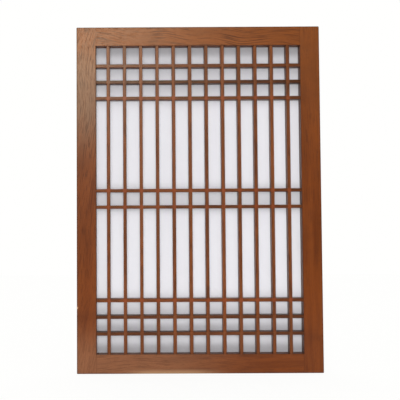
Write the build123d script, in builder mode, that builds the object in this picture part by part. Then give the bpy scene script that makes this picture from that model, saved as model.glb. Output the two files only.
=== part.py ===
from build123d import *
import os

# Latticed door panel: a wooden frame of two stiles and two rails, a lattice of
# slender bars halved over one another, and a sheet of translucent paper glued
# across the back of the lattice.
# Millimetres. +Z is up, the front faces -Y, and the origin is at the middle of
# the bottom edge.

# Frame
frame_width = 600.0
frame_height = 850.0
frame_depth = 30.0
stile_face = 48.0
rail_face = 47.0
outer_arris = 2.0
opening_arris = 1.0

# Rebate around the back of the opening, which takes the edge of the paper
rebate_depth = 10.0
rebate_width = 9.0

# Blind tenons that join the rails to the stiles
corner_tenon_thickness = 10.0
corner_wall = 12.0
corner_haunch = 10.0
corner_shoulder = 2.0
glue_gap = 1.0

# Lattice bars
bar_face = 8.2
bar_arris = 1.0
bar_lip = 0.5
vertical_count = 12
side_cell = 26.0
band_count = 3
end_cell = 45.0
middle_count = 2

# Stub tenons at the ends of the bars
bar_tenon_length = 12.0
bar_side_shoulder = 1.6
bar_face_shoulder = 4.25

# Paper
paper_thickness = 0.4
paper_clearance = 0.5

# Sizes worked out from the ones above
opening_width = frame_width - 2 * stile_face
opening_height = frame_height - 2 * rail_face
opening_bottom = rail_face
opening_top = frame_height - rail_face
mid_height = frame_height / 2

corner_mortise_depth = stile_face - corner_wall
corner_tenon_length = corner_mortise_depth - glue_gap
corner_tenon_height = rail_face - rebate_width - corner_shoulder - corner_haunch
corner_tenon_inset = corner_haunch + corner_tenon_height / 2

bar_recess = opening_arris + bar_lip
bar_front_y = bar_recess - frame_depth / 2
bar_back_y = frame_depth / 2 - rebate_depth
bar_depth = bar_back_y - bar_front_y
bar_mid_y = (bar_front_y + bar_back_y) / 2
lap_depth = bar_depth / 2
bar_tenon_face = bar_face - 2 * bar_side_shoulder
bar_tenon_depth = bar_depth - 2 * bar_face_shoulder
bar_mortise_depth = bar_tenon_length + glue_gap

# The vertical bars are spaced evenly between the two narrow side cells, and the
# horizontal bars keep the same pitch, so the small cells come out square.
first_bar_x = side_cell + bar_face / 2 - opening_width / 2
bar_pitch = -2 * first_bar_x / (vertical_count - 1)
bar_xs = [first_bar_x + i * bar_pitch for i in range(vertical_count)]

# The horizontal bars stand in a band at each end and a pair across the middle.
band_start = end_cell + bar_face / 2
bottom_band = [opening_bottom + band_start + i * bar_pitch for i in range(band_count)]
top_band = [opening_top - band_start - i * bar_pitch for i in range(band_count)]
middle_band = [
    mid_height + (i - (middle_count - 1) / 2) * bar_pitch for i in range(middle_count)
]
bar_zs = sorted(bottom_band + middle_band + top_band)


def gaps_between(centres, low, high):
    """Spans left open by bars at these centres, from the low to the high edge."""
    starts = [low] + [centre + bar_face / 2 for centre in centres]
    ends = [centre - bar_face / 2 for centre in centres] + [high]
    return list(zip(starts, ends))


cell_columns = gaps_between(bar_xs, -opening_width / 2, opening_width / 2)
cell_rows = gaps_between(bar_zs, opening_bottom, opening_top)

# The open space on each side of a bar that stands at 0, out to its neighbours.
space_beside_bar = gaps_between([0], -bar_pitch, bar_pitch)

front_plane = Plane.XZ.offset(frame_depth / 2)
back_plane = Plane.XZ.offset(-frame_depth / 2)
bar_front_plane = Plane.XZ.offset(-bar_front_y)
bar_back_plane = Plane.XZ.offset(-bar_back_y)


def opening_outline(plane, margin):
    """The opening of the frame on one plane, larger by a margin all round."""
    with BuildSketch(plane, mode=Mode.PRIVATE) as outline:
        with Locations((0, mid_height)):
            Rectangle(opening_width + 2 * margin, opening_height + 2 * margin)
    return outline.sketch


def eased_cells(columns, rows):
    """Cell outlines on the front of the bars, each larger by the eased arris."""
    with BuildSketch(bar_front_plane, mode=Mode.PRIVATE) as outlines:
        for left, right in columns:
            for bottom, top in rows:
                with Locations(((left + right) / 2, (bottom + top) / 2)):
                    Rectangle(right - left + 2 * bar_arris, top - bottom + 2 * bar_arris)
    return outlines.sketch


def stile(side, name):
    """Upright frame member: side is -1 for the left one and 1 for the right one."""
    inner_x = side * opening_width / 2
    with BuildPart() as member:
        with BuildSketch(Plane.XY):
            with Locations((side * (frame_width - stile_face) / 2, 0)):
                Rectangle(stile_face, frame_depth)
        extrude(amount=frame_height)
        inner_face = member.faces().filter_by(Axis.X).sort_by(Axis.X)[0 if side > 0 else -1]
        inner_edges = inner_face.edges()
        fillet([edge for edge in member.edges() if edge not in inner_edges], outer_arris)
        # eased arris at the front of the opening, and the rebate behind it
        front_outline = opening_outline(front_plane, opening_arris)
        extrude(front_outline, amount=-opening_arris, taper=45, mode=Mode.SUBTRACT)
        extrude(opening_outline(back_plane, rebate_width), amount=rebate_depth, mode=Mode.SUBTRACT)
        # mortises for the two rails
        with BuildSketch(Plane.YZ.offset(inner_x)):
            with Locations((0, corner_tenon_inset), (0, frame_height - corner_tenon_inset)):
                Rectangle(corner_tenon_thickness, corner_tenon_height)
        extrude(amount=side * corner_mortise_depth, mode=Mode.SUBTRACT)
        # mortises for the horizontal bars
        with BuildSketch(Plane.YZ.offset(inner_x)):
            with Locations(*[(bar_mid_y, z) for z in bar_zs]):
                Rectangle(bar_tenon_depth, bar_tenon_face)
        extrude(amount=side * bar_mortise_depth, mode=Mode.SUBTRACT)
    member.part.label = name
    return member.part


def rail(end, name):
    """Cross member between the stiles: end is -1 for the bottom one and 1 for the top."""
    outer_z = mid_height + end * frame_height / 2
    inner_z = mid_height + end * opening_height / 2
    with BuildPart() as member:
        with BuildSketch(Plane.YZ.offset(-opening_width / 2)):
            with Locations((0, (outer_z + inner_z) / 2)):
                Rectangle(frame_depth, rail_face)
        extrude(amount=opening_width)
        outer_face = member.faces().filter_by(Axis.Z).sort_by(Axis.Z)[-1 if end > 0 else 0]
        fillet(outer_face.edges().filter_by(Axis.X), outer_arris)
        # a tenon at each end
        tenon_span = opening_width + 2 * corner_tenon_length
        with BuildSketch(Plane.YZ.offset(-tenon_span / 2)):
            with Locations((0, outer_z - end * corner_tenon_inset)):
                Rectangle(corner_tenon_thickness, corner_tenon_height)
        extrude(amount=tenon_span)
        # eased arris at the front of the opening, and the rebate behind it
        front_outline = opening_outline(front_plane, opening_arris)
        extrude(front_outline, amount=-opening_arris, taper=45, mode=Mode.SUBTRACT)
        extrude(opening_outline(back_plane, rebate_width), amount=rebate_depth, mode=Mode.SUBTRACT)
        # mortises for the vertical bars
        with BuildSketch(Plane.XY.offset(inner_z)):
            with Locations(*[(x, bar_mid_y) for x in bar_xs]):
                Rectangle(bar_tenon_face, bar_tenon_depth)
        extrude(amount=end * bar_mortise_depth, mode=Mode.SUBTRACT)
    member.part.label = name
    return member.part


def vertical_bar():
    """Upright bar, notched from behind to sit over the front of the horizontal bars."""
    with BuildPart() as bar:
        with BuildSketch(Plane.XY.offset(opening_bottom)):
            with Locations((0, bar_mid_y)):
                Rectangle(bar_face, bar_depth)
        extrude(amount=opening_height)
        # a stub tenon at each end
        with BuildSketch(Plane.XY.offset(opening_bottom - bar_tenon_length)):
            with Locations((0, bar_mid_y)):
                Rectangle(bar_tenon_face, bar_tenon_depth)
        extrude(amount=opening_height + 2 * bar_tenon_length)
        # half laps from behind
        with BuildSketch(bar_back_plane):
            with Locations(*[(0, z) for z in bar_zs]):
                Rectangle(bar_face, bar_face)
        extrude(amount=lap_depth, mode=Mode.SUBTRACT)
        # arrises eased cell by cell, so they mitre at the crossings
        outlines = eased_cells(space_beside_bar, cell_rows)
        extrude(outlines, amount=-bar_arris, taper=45, mode=Mode.SUBTRACT)
    return bar.part


def horizontal_bar():
    """Cross bar at height 0, notched from the front to sit behind the vertical bars."""
    with BuildPart() as bar:
        with BuildSketch(Plane.YZ.offset(-opening_width / 2)):
            with Locations((bar_mid_y, 0)):
                Rectangle(bar_depth, bar_face)
        extrude(amount=opening_width)
        # a stub tenon at each end
        tenon_span = opening_width + 2 * bar_tenon_length
        with BuildSketch(Plane.YZ.offset(-tenon_span / 2)):
            with Locations((bar_mid_y, 0)):
                Rectangle(bar_tenon_depth, bar_tenon_face)
        extrude(amount=tenon_span)
        # half laps from the front
        with BuildSketch(bar_front_plane):
            with Locations(*[(x, 0) for x in bar_xs]):
                Rectangle(bar_face, bar_face)
        extrude(amount=-lap_depth, mode=Mode.SUBTRACT)
        # arrises eased cell by cell, in line with those of the vertical bars
        outlines = eased_cells(cell_columns, space_beside_bar)
        extrude(outlines, amount=-bar_arris, taper=45, mode=Mode.SUBTRACT)
    return bar.part


def placed(bar, place, name):
    """One of a set of like bars, moved to its own place in the lattice."""
    copy = bar.moved(place)
    copy.label = name
    return copy


def paper_sheet(name):
    """Paper glued to the back of the bars and to the floor of the rebate."""
    with BuildPart() as sheet:
        sheet_outline = opening_outline(bar_back_plane, rebate_width - paper_clearance)
        extrude(sheet_outline, amount=-paper_thickness)
    sheet.part.label = name
    return sheet.part


upright = vertical_bar()
crosswise = horizontal_bar()
pieces = [
    stile(-1, "left_stile"),
    stile(1, "right_stile"),
    rail(1, "top_rail"),
    rail(-1, "bottom_rail"),
    paper_sheet("paper_sheet"),
]
for number, x in enumerate(bar_xs, start=1):
    pieces.append(placed(upright, Location((x, 0, 0)), f"vertical_bar_{number:02d}"))
for number, z in enumerate(bar_zs, start=1):
    pieces.append(placed(crosswise, Location((0, 0, z)), f"horizontal_bar_{number:02d}"))

os.makedirs("parts", exist_ok=True)
for piece in pieces:
    export_step(piece, f"parts/{piece.label}.step")

print(f"opening {opening_width:.1f} x {opening_height:.1f}, bar pitch {bar_pitch:.2f}")
print(f"bars {bar_depth:.1f} deep, {len(pieces)} pieces")
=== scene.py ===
# %% [markdown]
# A latticed door panel is a wooden frame with a grid of slender bars in it and a sheet of
# paper across the back. The frame that is loaded here already holds every piece at its
# real size. What is left to learn is how to make it look like wood that was stained,
# lacquered and handled, with paper that lets light through.

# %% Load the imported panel
import bpy
import bmesh
import math
from mathutils import Euler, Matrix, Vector


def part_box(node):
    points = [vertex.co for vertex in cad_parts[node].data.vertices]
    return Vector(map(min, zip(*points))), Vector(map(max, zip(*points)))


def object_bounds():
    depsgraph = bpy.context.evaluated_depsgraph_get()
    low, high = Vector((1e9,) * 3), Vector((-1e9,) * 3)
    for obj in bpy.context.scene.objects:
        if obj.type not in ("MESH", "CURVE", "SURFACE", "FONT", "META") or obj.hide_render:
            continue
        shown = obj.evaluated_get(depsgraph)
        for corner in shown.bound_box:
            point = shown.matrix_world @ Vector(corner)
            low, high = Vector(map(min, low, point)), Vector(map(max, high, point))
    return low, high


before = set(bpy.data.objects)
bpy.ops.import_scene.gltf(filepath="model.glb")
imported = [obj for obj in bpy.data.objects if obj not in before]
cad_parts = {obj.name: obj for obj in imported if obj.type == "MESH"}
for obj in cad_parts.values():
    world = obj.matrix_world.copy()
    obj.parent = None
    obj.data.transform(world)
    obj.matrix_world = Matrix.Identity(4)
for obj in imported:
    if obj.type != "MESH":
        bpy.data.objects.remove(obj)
cad_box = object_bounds()
print("panel", [round(v, 4) for v in cad_box[1] - cad_box[0]], "metres")

# %% [markdown]
# The pieces fall into a few families: two stiles, two rails, upright bars, cross bars and
# the paper. The finishes need to know where the opening is and where the bars cross. That
# could be typed in as numbers, but it is read from the pieces' own boxes, so that the dark
# edges, the crossings and the painted shade on the paper still fit when a size of the
# panel is changed.

# %% Sort the pieces
UPRIGHTS = sorted(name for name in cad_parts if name.startswith("vertical_bar"))
CROSSBARS = sorted(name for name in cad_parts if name.startswith("horizontal_bar"))
ROWS_AT_END = 3


def middle(node):
    """Middle of a piece's box."""
    low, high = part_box(node)
    return (low + high) / 2


panel_half = cad_box[1].x
panel_front = cad_box[0].y
panel_top = cad_box[1].z
opening_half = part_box("right_stile")[0].x
opening_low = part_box("bottom_rail")[1].z
opening_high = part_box("top_rail")[0].z
mid_height = (opening_low + opening_high) / 2
bar_low, bar_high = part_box(UPRIGHTS[0])
bar_front = bar_low.y
bar_width = bar_high.x - bar_low.x
upright_xs = [middle(name).x for name in UPRIGHTS]
crossbar_zs = [middle(name).z for name in CROSSBARS]
low_rows, high_rows = crossbar_zs[:ROWS_AT_END], crossbar_zs[-ROWS_AT_END:]
middle_rows = crossbar_zs[ROWS_AT_END:-ROWS_AT_END]
pitch = upright_xs[1] - upright_xs[0]
print(len(UPRIGHTS), "uprights", round(pitch * 1000, 2), "mm apart,", len(CROSSBARS), "cross bars")

# %% [markdown]
# A material is a sum written with nodes. Adding and linking dozens of nodes one by one
# works, but nobody can read the sum any more. A small class keeps it readable: it wraps
# an output socket, and the usual signs between two wrapped sockets, or a socket and a
# number, add a Math node. Everything that is not plain arithmetic goes through `node`.

# %% Shader maths
class Sum:
    """A number in a node tree, which can be added to, taken from and multiplied."""

    def __init__(self, bench, socket):
        self.bench = bench
        self.socket = socket

    def __add__(self, other):
        return self.bench.math("ADD", self, other)

    def __sub__(self, other):
        return self.bench.math("SUBTRACT", self, other)

    def __mul__(self, other):
        return self.bench.math("MULTIPLY", self, other)

    def __radd__(self, other):
        return self.bench.math("ADD", other, self)

    def __rsub__(self, other):
        return self.bench.math("SUBTRACT", other, self)

    def __rmul__(self, other):
        return self.bench.math("MULTIPLY", other, self)


class Bench:
    """The node tree of a material or of the world, and the tools to fill it."""

    def __init__(self, owner, output_kind):
        owner.use_nodes = True
        self.tree = owner.node_tree
        self.tree.nodes.clear()
        self.output = self.tree.nodes.new(output_kind)

    def node(self, kind, settings=None, out=0, **sockets):
        """Any node: its settings first, then the values or links of its sockets."""
        made = self.tree.nodes.new(kind)
        for setting, value in (settings or {}).items():
            setattr(made, setting, value)
        for label, value in sockets.items():
            key = int(label[1:]) if label[1:].isdigit() else label.replace("_", " ")
            self.plug(value, made.inputs[key])
        return Sum(self, made.outputs[out])

    def plug(self, value, target):
        """A wrapped socket is linked, and a plain value is set."""
        if isinstance(value, Sum):
            self.tree.links.new(value.socket, target)
        else:
            target.default_value = value

    def math(self, operation, first, second=0.0):
        return self.node("ShaderNodeMath", {"operation": operation}, _0=first, _1=second)

    def vector(self, operation, first, second, out=0):
        settings = {"operation": operation}
        return self.node("ShaderNodeVectorMath", settings, out=out, _0=first, _1=second)

    def smooth(self, value, start, end):
        """0 before start, 1 after end, and a soft step between."""
        settings = {"interpolation_type": "SMOOTHSTEP"}
        return self.node("ShaderNodeMapRange", settings, _0=value, _1=start, _2=end)

    def fade(self, value, start, end):
        """1 before start, 0 after end: the soft step the other way down."""
        return 1 - self.smooth(value, start, end)

    def mix(self, share, first, second):
        """Two colours mixed by a share of the second."""
        settings = {"data_type": "RGBA", "clamp_factor": True}
        return self.node("ShaderNodeMix", settings, out=2, _0=share, _6=first, _7=second)

    def blend(self, share, first, second):
        """Two shaders mixed by a share of the second."""
        return self.node("ShaderNodeMixShader", _0=share, _1=first, _2=second)

    def noise(self, vector, scale, detail):
        return self.node("ShaderNodeTexNoise", Vector=vector, Scale=scale, Detail=detail)

    def place(self):
        """Where the surface is, in the panel's own metres."""
        return self.node("ShaderNodeTexCoord", out=3)

    def axes(self, vector):
        """The x, y and z of a vector."""
        split = self.node("ShaderNodeSeparateXYZ", _0=vector).socket.node
        return [Sum(self, output) for output in split.outputs]

    def nearest(self, value, centres):
        """How far a value is from the nearest of some centres."""
        gap = self.math("ABSOLUTE", value - centres[0])
        for centre in centres[1:]:
            gap = self.math("MINIMUM", gap, self.math("ABSOLUTE", value - centre))
        return gap

    def finish(self, shader):
        """The last step of a tree: its shader goes to the output."""
        self.tree.links.new(shader.socket, self.output.inputs[0])


# %% [markdown]
# Every finish below starts from an empty material, and its colours are written as they
# show on a screen. Blender counts in amounts of light, so a colour is turned into light
# first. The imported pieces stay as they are: dressing one only changes its material.

# %% Finishes and colours
def new_finish(name):
    """An empty material and its bench."""
    material = bpy.data.materials.new(name)
    return material, Bench(material, "ShaderNodeOutputMaterial")


def colour(red, green, blue):
    """A colour given as it shows on a screen, 0 to 255, turned into light."""
    shares = (red / 255, green / 255, blue / 255)
    light = [s / 12.92 if s <= 0.04045 else ((s + 0.055) / 1.055) ** 2.4 for s in shares]
    return (*light, 1.0)


def dress(name, material):
    """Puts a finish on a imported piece."""
    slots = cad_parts[name].data.materials
    slots.clear()
    slots.append(material)


# %% [markdown]
# The wood is an open-pored hardwood under a red-brown stain. A picture of a plank could be
# wrapped round each piece, but its edges would show at the corners. A noise runs through
# the whole solid, as real grain does, and needs no picture. Stretched many times along
# the piece, it gives the bands of early and late wood, the dark dashes and the pores. A
# slow one, the drift, bends these lines, because a tree never grows quite straight, and
# the cloud gathers the dashes in patches. Each piece takes its own offset, as a joiner
# never gets two sticks from one place in the plank.

# %% Grain
BAND_SCALE, BAND_STRETCH = 70.0, 0.05
PORE_SCALE, PORE_STRETCH = 1500.0, 0.08
DASH_SCALE = 400.0
DRIFT_SCALE = 5.0
CLOUD_SCALE = 11.0
DASH_EDGE = (0.53, 0.62)
PORE_EDGE = (0.56, 0.70)
DASHED_PATCH = (0.32, 0.52)
OFFSET_STEPS = (12.9, 7.3, 4.7)


def plank_offset(seed):
    """A place of its own in the noise for each piece."""
    return Vector([math.sin(seed * step + axis) for axis, step in enumerate(OFFSET_STEPS)])


def grain(bench, place, upright, seed, slope, wander, dash_stretch):
    """Bands, dashes, pores and cloud of one piece, each between 0 and 1."""
    x, y, z = bench.axes(place)
    across, length = (x, z) if upright else (z, x)
    offset = plank_offset(seed)
    moved = bench.vector("ADD", place, offset)
    drift = bench.noise(moved, DRIFT_SCALE, detail=1.0)
    bent = across + length * slope + (drift - 0.5) * wander + offset.x

    def lines(stretch, scale, detail):
        drawn = bench.node("ShaderNodeCombineXYZ", X=bent, Y=y, Z=length * stretch + offset.z)
        return bench.noise(drawn, scale, detail)

    bands = lines(BAND_STRETCH, BAND_SCALE, detail=3.0)
    dashes = bench.smooth(lines(dash_stretch, DASH_SCALE, detail=0.5), *DASH_EDGE)
    pores = bench.smooth(lines(PORE_STRETCH, PORE_SCALE, detail=1.0), *PORE_EDGE)
    cloud = bench.noise(moved, CLOUD_SCALE, detail=2.0)
    return bands, dashes * bench.smooth(cloud, *DASHED_PATCH), pores, cloud


# %% [markdown]
# A finish is built up as a painter would. The ground comes first: a stain that is never
# quite even, so it goes from a deep tone to a bright and a warm one with the bands and the
# cloud. Then the grain is drawn over it in the darkest tone. The lacquer on top is satin
# and sinks a little into the pores. That relief is far too fine for the mesh, so a Bump
# node tilts the light on it instead. Edges are pairs of noise values, between which one
# tone gives way to the next.

# %% Stain and lacquer
SATIN_ROUGHNESS = 0.32
LACQUER_SPECULAR = 0.22
RELIEF_METRES = 0.0003
RELIEF_STRENGTH = 0.3
BAND_RELIEF, PORE_RELIEF, DASH_RELIEF = 0.2, 0.5, 0.5
BAND_ROUGHNESS, PORE_ROUGHNESS = 0.08, 0.1
BRIGHT_EDGE = (0.32, 0.68)
WARM_EDGE, WARM_SHARE = (0.35, 0.65), 0.35
DARK_EDGE, DARK_SHARE = (0.26, 0.42), 0.3
PORE_SHARE = 0.3


def ground(bench, tone, bands, cloud):
    """Colour of the stain before its grain shows."""
    base = bench.mix(bench.smooth(bands, *BRIGHT_EDGE), tone["deep"], tone["bright"])
    base = bench.mix(bench.smooth(cloud, *WARM_EDGE) * WARM_SHARE, base, tone["warm"])
    return bench.mix(bench.fade(cloud, *DARK_EDGE) * DARK_SHARE, base, tone["streak"])


def grained(bench, base, tone, dashes, pores, depth):
    """The stain with its grain: depth is how strongly the dashes show."""
    base = bench.mix(dashes * depth, base, tone["streak"])
    return bench.mix(pores * PORE_SHARE, base, tone["streak"])


def lacquered(bench, base, bands, dashes, pores):
    """Satin lacquer over the coloured, lightly grooved wood."""
    relief = bands * BAND_RELIEF - pores * PORE_RELIEF - dashes * DASH_RELIEF
    sockets = {"Strength": RELIEF_STRENGTH, "Distance": RELIEF_METRES, "Height": relief}
    bump = bench.node("ShaderNodeBump", **sockets)
    rough = SATIN_ROUGHNESS + bands * BAND_ROUGHNESS + pores * PORE_ROUGHNESS
    sockets = {"Base_Color": base, "Roughness": rough, "Normal": bump}
    sockets["Specular_IOR_Level"] = LACQUER_SPECULAR
    return bench.node("ShaderNodeBsdfPrincipled", **sockets)


# %% [markdown]
# A leaf ages from where the light falls. The sun has paled the upper part, most of all on
# the left, where the stile has also turned grey, and a painted sheen of the window lightens
# the same part. The lower left corner is lighter, a painted reflection of the white floor.
# These could be painted by hand on an unwrapped mesh. A soft patch is simpler and fits any
# size of mesh: one step up the height times one step across the width. Steps are pairs of
# metres, where the change starts and where it ends.

# %% Years of sun, with painted sheen and floor reflection
SUNNED_AND_SHEEN = colour(160, 96, 44)
SUN_SHEEN_HEIGHT, SUN_SHEEN_ACROSS = (0.45, 0.86), (-0.20, 0.34)
SUN_SHEEN_LEFT, SUN_SHEEN_LOST_TO_RIGHT = 0.42, 0.22
GREYED_AND_SHEEN = colour(124, 112, 94)
GREY_SHEEN_FROM, GREY_SHEEN_TO, GREY_SHEEN_ACROSS = (0.50, 0.66), (0.73, 0.83), (-0.27, -0.22)
GREY_SHEEN_SHARE = 0.35
FLOOR_SHEEN = colour(150, 104, 74)
FLOOR_SHEEN_HEIGHT, FLOOR_SHEEN_ACROSS = (0.02, 0.14), (-0.14, 0.18)
FLOOR_SHEEN_SHARE, FLOOR_SHEEN_ON_BANDS = 0.4, 0.3


def aged_and_sheened(bench, base, bands, x, z):
    """The stain as the years have left it, under a painted sheen and a painted floor reflection.
    """
    # Sun-paled and lit by a painted sheen: the upper part, most on the left.
    sun_and_sheen = SUN_SHEEN_LEFT - bench.smooth(x, *SUN_SHEEN_ACROSS) * SUN_SHEEN_LOST_TO_RIGHT
    base = bench.mix(bench.smooth(z, *SUN_SHEEN_HEIGHT) * sun_and_sheen, base, SUNNED_AND_SHEEN)
    # Greyed and lit by a painted sheen: the upper part of the left stile.
    grey_and_sheen = bench.smooth(z, *GREY_SHEEN_FROM) * bench.fade(z, *GREY_SHEEN_TO) * bench.fade(x, *GREY_SHEEN_ACROSS)
    base = bench.mix(grey_and_sheen * GREY_SHEEN_SHARE, base, GREYED_AND_SHEEN)
    # Painted reflection of the white floor: the lower left corner is lighter, most on the pale
    # bands.
    floor_sheen = bench.fade(x, *FLOOR_SHEEN_ACROSS) * bench.fade(z, *FLOOR_SHEEN_HEIGHT)
    return bench.mix(floor_sheen * (FLOOR_SHEEN_SHARE + bands * FLOOR_SHEEN_ON_BANDS), base, FLOOR_SHEEN)


# %% [markdown]
# Thin dark lines run round the outside and round the opening: painted shade on the
# rounded outer edges and on the shaded sides of the opening. Stain has also collected in
# the four seams between stiles and rails. Blender can find edges by itself with Pointiness,
# but that needs a fine, even mesh. Here a sum gives the distance to each edge, and the line
# fades out from there. A lighter strip runs along the lower edge on the left, and where a
# small chip has come off the left stile, the bare wood shows.

# %% Edge shade, seams and pale wood
FRAME_TONE = {
    "deep": colour(97, 44, 8),
    "bright": colour(117, 57, 14),
    "warm": colour(124, 60, 12),
    "streak": colour(56, 23, 6),
}
OUTER_SHADE_LINE, OUTER_SHADE_DARKNESS = (0.0008, 0.0030), 0.55
OPENING_SHADE_LINE, OPENING_SHADE_DARKNESS = (0.0004, 0.0022), 0.5
SEAM_LINE, SEAM_DARKNESS = (0.0002, 0.0012), 0.3
PALE_WOOD = colour(186, 146, 108)
PALE_EDGE_HEIGHT, PALE_EDGE_FROM, PALE_EDGE_TO = (0.003, 0.013), (-0.20, -0.12), (-0.04, 0.08)
PALE_EDGE_SHARE = 0.6
CHIP_PLACE = (-panel_half, panel_front, 0.16)
CHIP_RIM = (0.0028, 0.0038)


def edge_shade_and_seams(bench, base, x, z):
    """Painted shade along the outer edges and the opening, and dark stain in the seams."""
    across = bench.math("ABSOLUTE", x)
    above = bench.math("ABSOLUTE", z - mid_height) - (opening_high - mid_height)
    beyond = across - opening_half
    to_ends = bench.math("MINIMUM", z, panel_top - z)
    to_outside = bench.math("MINIMUM", panel_half - across, to_ends)
    to_opening = bench.math("MAXIMUM", beyond, above)
    to_seam = bench.math("ABSOLUTE", beyond)
    # Painted shade on the rounded outer edges and on the shaded sides of the opening.
    outer = bench.fade(to_outside, *OUTER_SHADE_LINE) * OUTER_SHADE_DARKNESS
    inner = bench.fade(to_opening, *OPENING_SHADE_LINE) * OPENING_SHADE_DARKNESS
    seam = bench.fade(to_seam, *SEAM_LINE) * SEAM_DARKNESS
    for line in (outer, inner, seam):
        base = bench.mix(line, base, FRAME_TONE["streak"])
    return base


def pale_edge_and_chip(bench, base, place, x, z):
    """A lighter strip along the lower edge, and bare wood in the chip."""
    # A lighter strip along the lower edge on the left, in a pale wood colour.
    strip = bench.smooth(x, *PALE_EDGE_FROM) * bench.fade(x, *PALE_EDGE_TO)
    strip = bench.fade(z, *PALE_EDGE_HEIGHT) * strip
    base = bench.mix(strip * PALE_EDGE_SHARE, base, PALE_WOOD)
    to_chip = bench.vector("DISTANCE", place, CHIP_PLACE, out=1)
    return bench.mix(bench.fade(to_chip, *CHIP_RIM), base, PALE_WOOD)


# %% [markdown]
# Now the four frame members. Each was sawn from a plank of its own, so each has its own
# slope of grain, its own wander and dashes of its own length. One function makes all four
# from these numbers, so that they still look like one timber. Where the stain is still
# full, near the floor, it hides part of the grain.

# %% Frame members
FULL_STAIN = (0.12, 0.48)
HIDDEN_GRAIN = 0.6


def frame_wood(name, upright, seed, slope, wander, dash_stretch, depth):
    """Finish of a stile or a rail."""
    material, bench = new_finish(name + "_stain")
    place = bench.place()
    x, _, z = bench.axes(place)
    bands, dashes, pores, cloud = grain(bench, place, upright, seed, slope, wander, dash_stretch)
    base = aged_and_sheened(bench, ground(bench, FRAME_TONE, bands, cloud), bands, x, z)
    shown = dashes * (1 - bench.fade(z, *FULL_STAIN) * HIDDEN_GRAIN)
    base = grained(bench, base, FRAME_TONE, shown, pores, depth)
    base = pale_edge_and_chip(bench, edge_shade_and_seams(bench, base, x, z), place, x, z)
    bench.finish(lacquered(bench, base, bands, dashes, pores))
    return material


MEMBERS = {
    "left_stile": dict(upright=True, slope=-0.11, wander=0.05, dash_stretch=0.07, depth=0.48),
    "right_stile": dict(upright=True, slope=0.01, wander=0.02, dash_stretch=0.05, depth=0.3),
    "bottom_rail": dict(upright=False, slope=-0.01, wander=0.03, dash_stretch=0.05, depth=0.75),
    "top_rail": dict(upright=False, slope=0.10, wander=0.08, dash_stretch=0.04, depth=0.6),
}
for number, (name, timber) in enumerate(MEMBERS.items()):
    dress(name, frame_wood(name, seed=number, **timber))
print("finished", len(MEMBERS), "frame members")

# %% [markdown]
# The bars are cut from offcuts of the same timber, so each has a shade of its own. Twenty
# materials could be made by hand, but one function with a seed and a shade makes them all
# alike in kind. Where two bars cross, the wood is a warmer orange, other than in the two
# rows nearest to each rail. The cross bars are darker towards the right, a painted shade
# where the light falls off, and the sides of every bar darken towards the paper, a painted
# shade between the bars.

# %% Stained bars
BAR_TONE = {
    "deep": (98, 51, 19),
    "bright": (120, 65, 29),
    "warm": (125, 64, 24),
    "streak": (58, 27, 12),
}
CROSSBAR_SHADES = (0.84, 0.80, 1.0, 0.9, 0.98, 0.88, 0.72, 0.92)
UPRIGHT_SWING, SWING_STEP = 0.05, 2.4
FIRST_UPRIGHT_SEED = len(MEMBERS)
FIRST_CROSSBAR_SEED = FIRST_UPRIGHT_SEED + len(UPRIGHTS)
BAR_GRAIN = dict(slope=0.0, wander=0.02, dash_stretch=0.08)
BAR_GRAIN_DEPTH = 0.5
CROSSING = colour(144, 62, 24)
CROSSING_SHARE = 0.45
CROSSING_REACH = (bar_width * 0.4, bar_width * 0.8)
inner_row, next_row = [row - mid_height for row in high_rows[:2]]
ORANGE_ROWS = (inner_row + bar_width, next_row - bar_width)
RIGHT_SHADE_SPAN, RIGHT_SHADE_SHARE = (0.08, 0.26), 0.3
SIDE_SHADE_DEPTH, SIDE_SHADE_SHARE = (bar_front, bar_front + 0.006), 0.5


def bar_wood(name, upright, seed, shade):
    """Finish of one bar: a shade of its own, orange where it meets the others, painted shade on
    its sides.
    """
    material, bench = new_finish(name + "_stain")
    place = bench.place()
    x, y, z = bench.axes(place)
    tone = {part: colour(*(v * shade for v in level)) for part, level in BAR_TONE.items()}
    bands, dashes, pores, cloud = grain(bench, place, upright, seed, **BAR_GRAIN)
    base = ground(bench, tone, bands, cloud)
    base = grained(bench, base, tone, dashes, pores, BAR_GRAIN_DEPTH)
    # The wood turns a warmer orange where the bars cross, except in the rows by the rails.
    gap = bench.nearest(z, crossbar_zs) if upright else bench.nearest(x, upright_xs)
    orange = bench.fade(bench.math("ABSOLUTE", z - mid_height), *ORANGE_ROWS) * CROSSING_SHARE
    base = bench.mix(bench.fade(gap, *CROSSING_REACH) * orange, base, CROSSING)
    # Painted shade where the light falls off: the cross bars darken towards the right.
    if not upright:
        base = bench.mix(bench.smooth(x, *RIGHT_SHADE_SPAN) * RIGHT_SHADE_SHARE, base, tone["streak"])
    # Painted shade on the sides of every bar, darker towards the paper.
    base = bench.mix(bench.smooth(y, *SIDE_SHADE_DEPTH) * SIDE_SHADE_SHARE, base, tone["streak"])
    bench.finish(lacquered(bench, base, bands, dashes, pores))
    return material


for seed, name in enumerate(UPRIGHTS, start=FIRST_UPRIGHT_SEED):
    shade = 1.0 + UPRIGHT_SWING * math.sin(seed * SWING_STEP)
    dress(name, bar_wood(name, True, seed, shade))
for seed, (name, shade) in enumerate(zip(CROSSBARS, CROSSBAR_SHADES), start=FIRST_CROSSBAR_SEED):
    dress(name, bar_wood(name, False, seed, shade))
print("finished", len(UPRIGHTS) + len(CROSSBARS), "bars")

# %% [markdown]
# Painted shade greys the paper where the bars and rails shade it: a little in all the small
# cells, more in the middle band and next to the rails, and most in soft strips along some
# of the bars and the rails. The lattice is the same above and below, so the distance from
# the middle of the panel is enough to tell its bands apart.

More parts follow.
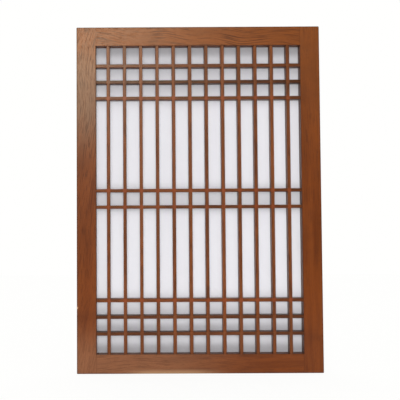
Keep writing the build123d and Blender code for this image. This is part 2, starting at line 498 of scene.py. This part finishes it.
# %% Painted shade on the paper
BAND_SHADE = 0.1
MIDDLE_SHADE = 0.15
RAIL_SHADE = 0.07
STRIP_SHADE, PALER_SHARE = 0.33, 0.5
STRIP_FROM_BAR = 0.007
STRIP_REACH = (0.002, 0.024)
MIDDLE_FADE = 0.025
END_FADE = 0.03
middle_band = middle_rows[-1] - mid_height
end_band = high_rows[0] - mid_height
rail_band = high_rows[-1] - mid_height
shaded_strips = [
    opening_high - STRIP_FROM_BAR,
    opening_low + STRIP_FROM_BAR,
    low_rows[0] + STRIP_FROM_BAR,
]
paler_shaded_strips = [
    high_rows[-1] - STRIP_FROM_BAR,
    high_rows[-2] - STRIP_FROM_BAR,
    low_rows[1] + STRIP_FROM_BAR,
]


def painted_paper_shade(bench, z):
    """How much painted shade greys the paper, from 0 for none to 1 for full shade."""
    from_middle = bench.math("ABSOLUTE", z - mid_height)
    in_middle = bench.fade(from_middle, middle_band, middle_band + MIDDLE_FADE)
    in_ends = bench.smooth(from_middle, end_band - END_FADE, end_band)
    by_rails = bench.smooth(from_middle, rail_band - bar_width / 2, rail_band + bar_width / 2)
    # Painted shade: the paper greys in the small cells and in strips along bars and rails.
    cells = in_middle * MIDDLE_SHADE + in_ends * BAND_SHADE + by_rails * RAIL_SHADE
    strip_shade = bench.fade(bench.nearest(z, shaded_strips), *STRIP_REACH)
    paler_strip_shade = bench.fade(bench.nearest(z, paler_shaded_strips), *STRIP_REACH)
    return cells + (strip_shade + paler_strip_shade * PALER_SHARE) * STRIP_SHADE


# %% [markdown]
# Mulberry paper is thin enough to glow a little when there is light behind it. Subsurface
# scattering is meant for thick things such as wax. Mixing a plain shader with a
# Translucent one suits a sheet: one share of the light comes back, the other goes through.
# The Translucent colours stay plain, and the painted shade chooses between two of them,
# because a baked export follows a Mix Shader's factor but not their colour.

# %% Paper
PAPER_GLOW = 0.6
THIN_FIBRES, THICK_FIBRES = colour(242, 242, 247), colour(252, 252, 254)
UNSHADED_PAPER = colour(247, 247, 250)
SHADED_PAPER = colour(152, 150, 153)
FIBRE_SCALE = 260.0
FIBRE_RELIEF_METRES, FIBRE_RELIEF_STRENGTH = 0.0002, 0.15
PAPER_ROUGHNESS = 0.8


def paper_finish():
    """Thin, fibrous paper that glows, greyer where shade is painted on it."""
    material, bench = new_finish("mulberry_paper")
    place = bench.place()
    paper_shade = painted_paper_shade(bench, bench.axes(place)[2])
    fibres = bench.noise(place, FIBRE_SCALE, detail=4.0)
    base = bench.mix(paper_shade, bench.mix(fibres, THIN_FIBRES, THICK_FIBRES), SHADED_PAPER)
    sockets = {"Strength": FIBRE_RELIEF_STRENGTH, "Distance": FIBRE_RELIEF_METRES}
    bump = bench.node("ShaderNodeBump", Height=fibres, **sockets)
    sockets = {"Base_Color": base, "Roughness": PAPER_ROUGHNESS, "Normal": bump}
    front = bench.node("ShaderNodeBsdfPrincipled", **sockets)
    # The glow through the paper is greyed by the same painted shade.
    unshaded_glow = bench.node("ShaderNodeBsdfTranslucent", Color=UNSHADED_PAPER)
    shaded_glow = bench.node("ShaderNodeBsdfTranslucent", Color=SHADED_PAPER)
    bench.finish(bench.blend(PAPER_GLOW, front, bench.blend(paper_shade, unshaded_glow, shaded_glow)))
    return material


dress("paper_sheet", paper_finish())
opening = (round(opening_half * 2, 3), round(opening_high - opening_low, 3))
print("papered an opening of", opening, "metres")

# %% [markdown]
# The photograph shows the panel against plain white. A white that comes from strong lamps
# would bleach the wood, so it comes from Light Path instead: floor and world are white
# where the camera sees them, straight on, through the paper or in a mirror. The floor
# keeps a share of its own shading, so the panel still stands on its shadow.

# %% Floor
BACKDROP = colour(255, 255, 254)
FLOOR_GREY = colour(246, 246, 246)
FLOOR_WHITENESS = 0.92
FLOOR_FRONT, FLOOR_BACK, FLOOR_SIDE = -0.62, 2.2, 2.0


def seen_white(bench, dim=0.0):
    """1 where a ray shows the white background: none does in a mirror on the dim side."""
    names = ("Is Camera Ray", "Is Transmission Ray", "Is Glossy Ray")
    seen, through, mirrored = [bench.node("ShaderNodeLightPath", out=name) for name in names]
    return bench.math("MAXIMUM", bench.math("MAXIMUM", seen, through), mirrored * (1 - dim))


def floor_finish():
    """White as a background, with some of the shade that falls on it."""
    material, bench = new_finish("white_floor")
    plain = bench.node("ShaderNodeBsdfDiffuse", Color=FLOOR_GREY)
    glow = bench.node("ShaderNodeEmission", Color=BACKDROP, Strength=1.0)
    bench.finish(bench.blend(seen_white(bench) * FLOOR_WHITENESS, plain, glow))
    return material


def make_floor():
    """One flat sheet under the panel, which is no part of it."""
    sheet = bmesh.new()
    bmesh.ops.create_grid(sheet, x_segments=1, y_segments=1, size=1.0)
    half_depth = (FLOOR_BACK - FLOOR_FRONT) / 2
    bmesh.ops.scale(sheet, vec=(FLOOR_SIDE, half_depth, 1.0), verts=sheet.verts)
    bmesh.ops.translate(sheet, vec=(0, FLOOR_FRONT + half_depth, 0), verts=sheet.verts)
    mesh = bpy.data.meshes.new("floor")
    sheet.to_mesh(mesh)
    sheet.free()
    mesh.materials.append(floor_finish())
    floor = bpy.data.objects.new("floor", mesh)
    bpy.context.scene.collection.objects.link(floor)


make_floor()
print("floor", FLOOR_SIDE * 2, "by", round(FLOOR_BACK - FLOOR_FRONT, 2), "metres")

# %% [markdown]
# The world stands for the room round the panel. White light from all sides would be the
# simplest, but the lacquer would mirror it and lose its depth of colour. So the room is
# dim behind the camera, as it is for a real photographer, and light on all other sides.

# %% Surroundings
ROOM_LIGHT = 1.07
DIM_LIGHT = 0.05
DIM_SIDE = (0.6, 0.85)


def make_world():
    """A white room that is dim behind the camera."""
    world = bpy.data.worlds.new("white_room")
    bpy.context.scene.world = world
    bench = Bench(world, "ShaderNodeOutputWorld")
    direction = bench.node("ShaderNodeTexCoord", out=0)
    towards_back = bench.axes(direction)[1]
    dim = bench.smooth(0 - towards_back, *DIM_SIDE)
    light = ROOM_LIGHT - dim * (ROOM_LIGHT - DIM_LIGHT)
    room = bench.node("ShaderNodeBackground", Color=BACKDROP, Strength=light)
    white = bench.node("ShaderNodeBackground", Color=BACKDROP, Strength=1.0)
    bench.finish(bench.blend(seen_white(bench, dim), room, white))


make_world()
print("room lit at", ROOM_LIGHT, "and at", DIM_LIGHT, "behind the camera")

# %% [markdown]
# Two soft lamps do the rest. One could do both jobs, but high on the left, where it gives
# the sheen, it would also throw the shadows of the bars down the paper. So each lamp does
# one thing. The window leaves only its sheen on the upper left of the frame, where the
# lacquer mirrors it. The screen is wide and stands far in front, so that it lights the
# paper between the bars without hard shadows. The camera sees neither.

# %% Lamps
WARM_DAYLIGHT = (1.0, 0.86, 0.64)
WINDOW_PLACE, WINDOW_SIZE, WINDOW_WATTS = (-0.50, -2.2, 1.48), (0.9, 0.6), 46.0
PLAIN_DAYLIGHT = (1.0, 0.99, 0.98)
SCREEN_PLACE, SCREEN_SIZE, SCREEN_WATTS = (-0.15, -3.0, 0.55), (2.2, 2.2), 60.0


def soft_lamp(name, place, size, watts, tint):
    """A rectangular lamp that is aimed at the middle of the panel."""
    lamp = bpy.data.lights.new(name, "AREA")
    lamp.color = tint
    lamp.shape = "RECTANGLE"
    lamp.size, lamp.size_y = size
    lamp.energy = watts
    holder = bpy.data.objects.new(name, lamp)
    holder.location = place
    beam = (cad_box[0] + cad_box[1]) / 2 - Vector(place)
    holder.rotation_euler = beam.to_track_quat("-Z", "Y").to_euler()
    holder.visible_camera = False
    bpy.context.scene.collection.objects.link(holder)
    return holder


window = soft_lamp("window", WINDOW_PLACE, WINDOW_SIZE, WINDOW_WATTS, WARM_DAYLIGHT)
window.visible_diffuse = False
screen = soft_lamp("screen", SCREEN_PLACE, SCREEN_SIZE, SCREEN_WATTS, PLAIN_DAYLIGHT)
screen.visible_glossy = False
print("two lamps:", window.name, "and", screen.name)

# %% [markdown]
# The camera stood about 1.5 metres in front, a little left of the middle, and looked
# almost square at the panel. Its lens and its turns could be judged by eye. They were
# fitted instead, so that the corners and the bars of the render fall on those of the
# photograph. The picture was cropped round the panel afterwards, which is what the lens
# shift repeats. The colours are shown as they are, with no film look.

# %% Camera
CAMERA_PLACE = (-0.15, -1.5, 0.40)
CAMERA_TILT_UP = 1.971
CAMERA_ROLL = 0.277
CAMERA_TURN = 0.121
LENS_MM, FILM_MM = 54.53, 36.0
LENS_SHIFT = (0.1585, -0.0295)

camera = bpy.data.cameras.new("camera")
camera.sensor_width = FILM_MM
camera.lens = LENS_MM
camera.shift_x, camera.shift_y = LENS_SHIFT
viewer = bpy.data.objects.new("camera", camera)
viewer.location = CAMERA_PLACE
turns = (90 + CAMERA_TILT_UP, CAMERA_ROLL, CAMERA_TURN)
viewer.rotation_euler = Euler([math.radians(turn) for turn in turns])
bpy.context.scene.collection.objects.link(viewer)
bpy.context.scene.camera = viewer
bpy.context.scene.view_settings.view_transform = "Standard"
print("camera at", CAMERA_PLACE, "with a lens of", LENS_MM, "mm")
